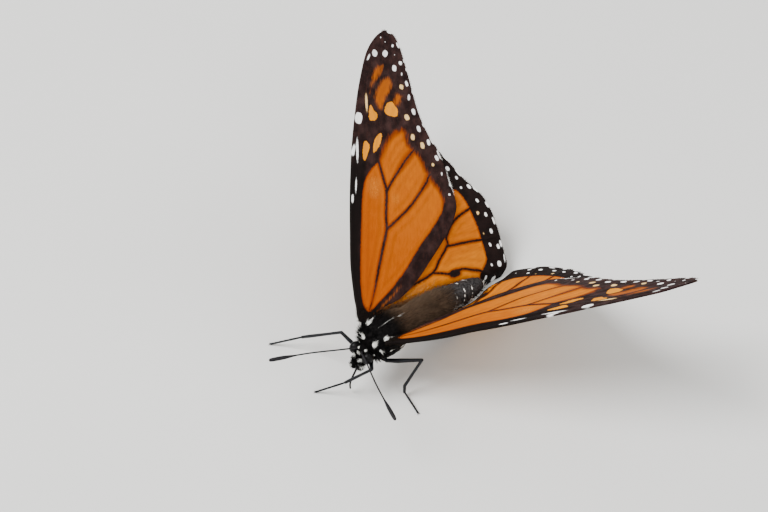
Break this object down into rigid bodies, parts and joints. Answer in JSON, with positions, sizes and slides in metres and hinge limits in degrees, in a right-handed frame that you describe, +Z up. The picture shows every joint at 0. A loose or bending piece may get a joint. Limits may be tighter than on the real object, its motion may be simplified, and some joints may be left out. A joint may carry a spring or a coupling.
{
  "type": "monarch butterfly",
  "caption": "Life-size model of a monarch butterfly standing with half-raised orange and black wings, feelers spread and coiling tongue let down.",
  "frame": {"origin": "centre of the whole butterfly's box, on the floor it stands on", "axes": "+Z up; the butterfly faces -Y; +X to its left, across the spread wings"},
  "size_m": [0.0722, 0.0521, 0.0298],
  "materials": {
    "body_black": "matte, velvety",
    "eye_black": "gloss",
    "leg_black": "satin",
    "wing_orange": "matte, finely scaled"
  },
  "bodies": {
    "root": {"head": "body_black", "thorax": "body_black", "abdomen": "body_black", "eye_left": "eye_black", "eye_right": "eye_black", "antenna_left": "leg_black", "antenna_right": "leg_black", "palp_left": "leg_black", "palp_right": "leg_black", "proboscis": "leg_black", "forewing_left": "wing_orange", "forewing_right": "wing_orange", "hindwing_left": "wing_orange", "hindwing_right": "wing_orange", "foreleg_left": "leg_black", "foreleg_right": "leg_black", "midleg_left": "leg_black", "midleg_right": "leg_black", "hindleg_left": "leg_black", "hindleg_right": "leg_black"}
  },
  "joints": []
}
